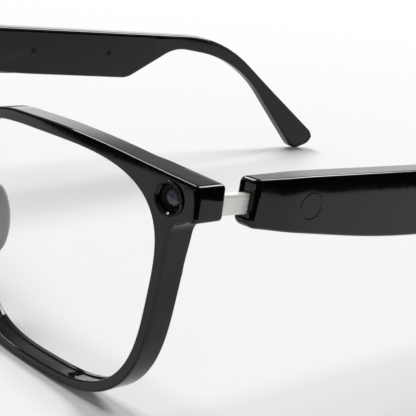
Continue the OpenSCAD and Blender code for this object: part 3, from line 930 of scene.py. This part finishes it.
dress(front, gloss, "front", "glossy_frame", "front_frame")
dress(bezel, gloss, "front", "bezel", "camera_bezel")
dress(funnel, matt, "front", "barrel", "camera_barrel")
dress(element, painted_reflection_glass, "front", "camera_optics", "camera_lens")
dress(pane, pane_glass, "front", "camera_glass", "camera_cover_glass")
EASED = {
    "plug": (tongue_steel, "tongue_", "plug_steel"),
    "hinge_bracket": (hinge_steel, "front", "hinge_steel"),
    "hinge_screw": (screw_steel, "front", "screw_steel"),
    "arm_cover": (satin, "arm_", "satin_cover"),
    "cover_screws": (black_steel, "arm_", "screw_steel"),
}
for word in SIDES:
    dress(arms[word], gloss, "arm_" + word, "glossy_arm", "arm_shell_" + word)
    dress(rings_made[word], inlay, "arm_" + word, "ring_inlay", "touch_ring_" + word)
    dress(pads[word], silicone, "front", "soft_pad", "nose_pad_" + word)
    for name, (material, body, slot) in EASED.items():
        rides_on = body + word if body.endswith("_") else body
        dress(eased_pieces[name + "_" + word], material, rides_on, slot, name + "_" + word)
dress(eased_pieces["function_button"], gloss, "button", "button", "function_button")

# %% The nodes that are kept
BY_SLOT = {
    "clear_lens": clear, "board": board, "flex": film, "contacts": gold, "socket_plastic": housing,
    "battery_foil": foil, "speaker_case": matt, "grille": black_steel, "microphone_can": gold,
    "wire_steel": hinge_steel, "switch_case": switch_grey,
}
kept = [entry for entry in frame["record"]["subparts"] if not frame["nodes"][entry["node"]].hide_render]
for entry in kept:
    for holder in frame["nodes"][entry["node"]].material_slots:
        holder.link = "OBJECT"
        holder.material = BY_SLOT[entry["material_slot"]]
for word in SIDES:
    frame["nodes"]["lens_" + word].visible_shadow = False  # a clear lens casts next to none
print("kept from the part:", len(kept), "nodes")

# %% [markdown]
# ## Floor, light and camera
# The glasses stand on a pale paper sweep. Glossy black shows nothing but its surroundings, so
# the picture on it is drawn by what it mirrors. Upright faces mirror the floor near by, which
# makes them grey, and beyond it a fence of black cards, as a product photographer sets one,
# which makes their upper part pure black. The line where a card meets the floor draws the
# border between the two. The rounded edges mirror two soft boxes as thin bright lines.

# %% Floor
FLOOR_HALF = 6.0


def plain_sheet(name, corners, material):
    """A flat four-cornered sheet through those points, in metres. It isn't part of the object."""
    mesh = bpy.data.meshes.new(name)
    mesh.from_pydata([list(c) for c in corners], [], [(0, 1, 2, 3)])
    mesh.materials.append(material)
    sheet = bpy.data.objects.new(name, mesh)
    bpy.context.scene.collection.objects.link(sheet)
    sheet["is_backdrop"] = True
    return sheet


paper, tree, shader = start("white paper sweep")
shader.inputs["Base Color"].default_value = srgb("#c2c2c2")
shader.inputs["Roughness"].default_value = 0.9
shader.inputs["Specular IOR Level"].default_value = 0.0
floor_corners = [(x * FLOOR_HALF, y * FLOOR_HALF, 0) for x, y in ((-1, -1), (1, -1), (1, 1), (-1, 1))]
plain_sheet("floor", floor_corners, paper)

# %% Black cards
black_card, tree, shader = start("black card")
shader.inputs["Base Color"].default_value = srgb("#000000")
shader.inputs["Roughness"].default_value = 1.0
shader.inputs["Specular IOR Level"].default_value = 0.0


def card(name, foot, low=0.0, height=0.12):
    """A black card over a line of the floor, from a height upwards. Only mirror images show it:
    it casts no shadow and hides nothing."""
    a, b = [np.array([*p, low]) for p in foot]
    sheet = plain_sheet(name, [a, b, b + [0, 0, height], a + [0, 0, height]], black_card)
    for kind in ("camera", "diffuse", "shadow", "transmission"):
        setattr(sheet, "visible_" + kind, False)


CARD_FEET = [  # in metres, from in front of the right lens round to beside the left arm's hook
    (-0.4, -0.206), (-0.1, -0.215), (0.0, -0.2175), (0.03, -0.209), (0.1, -0.18), (0.15, -0.13),
    (0.185, -0.06), (0.19, -0.01), (0.187, 0.004), (0.172, 0.026), (0.16, 0.046), (0.159, 0.054),
    (0.157, 0.067), (0.155, 0.078), (0.135, 0.125), (0.1, 0.17),
]
for k in range(len(CARD_FEET) - 1):
    card("card_" + str(k + 1), CARD_FEET[k:k + 2])
card("card_endpiece", [(0.0925, -0.0665), (0.0818, -0.0530)], low=0.0351, height=0.03)
card("card_far_arm", [(0.103, 0.045), (0.094, 0.125)], height=0.04)
print("black cards:", len(CARD_FEET) + 1)

# %% Light
def soft_box(name, place, aim, size, power):
    """A square area light at a place, turned to face a point."""
    data = bpy.data.lights.new(name, "AREA")
    data.energy, data.size = power, size
    lamp = bpy.data.objects.new(name, data)
    way = np.array(aim, float) - place
    lamp.location = place
    lamp.rotation_mode = "QUATERNION"
    lamp.rotation_quaternion = Vector(way).to_track_quat("-Z", "Y")
    bpy.context.scene.collection.objects.link(lamp)


soft_box("box_left", (-2.6, -0.5, 3.9), (0, 0, 0), 2.0, 200.0)
soft_box("box_behind", (-0.5, 3.1, 3.7), (0, 0, 0), 2.0, 200.0)

# %% The room's light, by the height that it comes from
world = bpy.data.worlds.new("studio")
bpy.context.scene.world = world
world.use_nodes = True
tree = world.node_tree
way = add(tree, "ShaderNodeTexCoord").outputs["Generated"]
height = add(tree, "ShaderNodeSeparateXYZ", Vector=way).outputs["Z"]
GLOW = ((0.0, 1.5), (0.24, 1.5), (0.36, 0.6), (0.6, 0.25), (1.0, 0.2))
glow = colour_ramp(tree, height, [(at, (light, light, light, 1)) for at, light in GLOW])
tree.links.new(glow, tree.nodes["Background"].inputs["Color"])
tree.nodes["Background"].inputs["Strength"].default_value = 1.0

# %% [markdown]
# The camera looks down at the near endpiece from about 18 degrees above the floor, with a
# slight roll, through a long lens. Its place and its three angles are given in the wearing
# frame, and its axes follow: level and over are its right and up before the roll.

# %% Camera
lens = bpy.data.cameras.new("camera")
lens.lens, lens.sensor_width = 87.92, 36.0
lens.clip_start, lens.clip_end = 0.01, 50
camera = bpy.data.objects.new("camera", lens)
CAMERA_AT = (182.393, -81.002, 46.888)
around, above, roll = [math.radians(a) for a in (50.3468, 18.1402, 7.2211)]
backwards = np.array([
    math.sin(around) * math.cos(above), -math.cos(around) * math.cos(above), math.sin(above)])
level = np.array([math.cos(around), math.sin(around), 0])
over = np.cross(backwards, level)
right = level * math.cos(roll) + over * math.sin(roll)
upwards = over * math.cos(roll) - level * math.sin(roll)
place = np.eye(4)
place[:3, :3] = (np.array([right, upwards, backwards]) @ WEAR).T
place[:3, 3] = worn(CAMERA_AT)
camera.matrix_world = Matrix(place.tolist())
bpy.context.scene.collection.objects.link(camera)
bpy.context.scene.camera = camera
bpy.context.scene.view_settings.view_transform = "Standard"

sizes = {"cad": cad_box, "visual": [list(corner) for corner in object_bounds()]}
past = [1000 * max(sizes["cad"][0][k] - sizes["visual"][0][k], sizes["visual"][1][k] - sizes["cad"][1][k])
        for k in range(3)]
print("grew past the part's box by at most (mm):", round(max(past), 3))
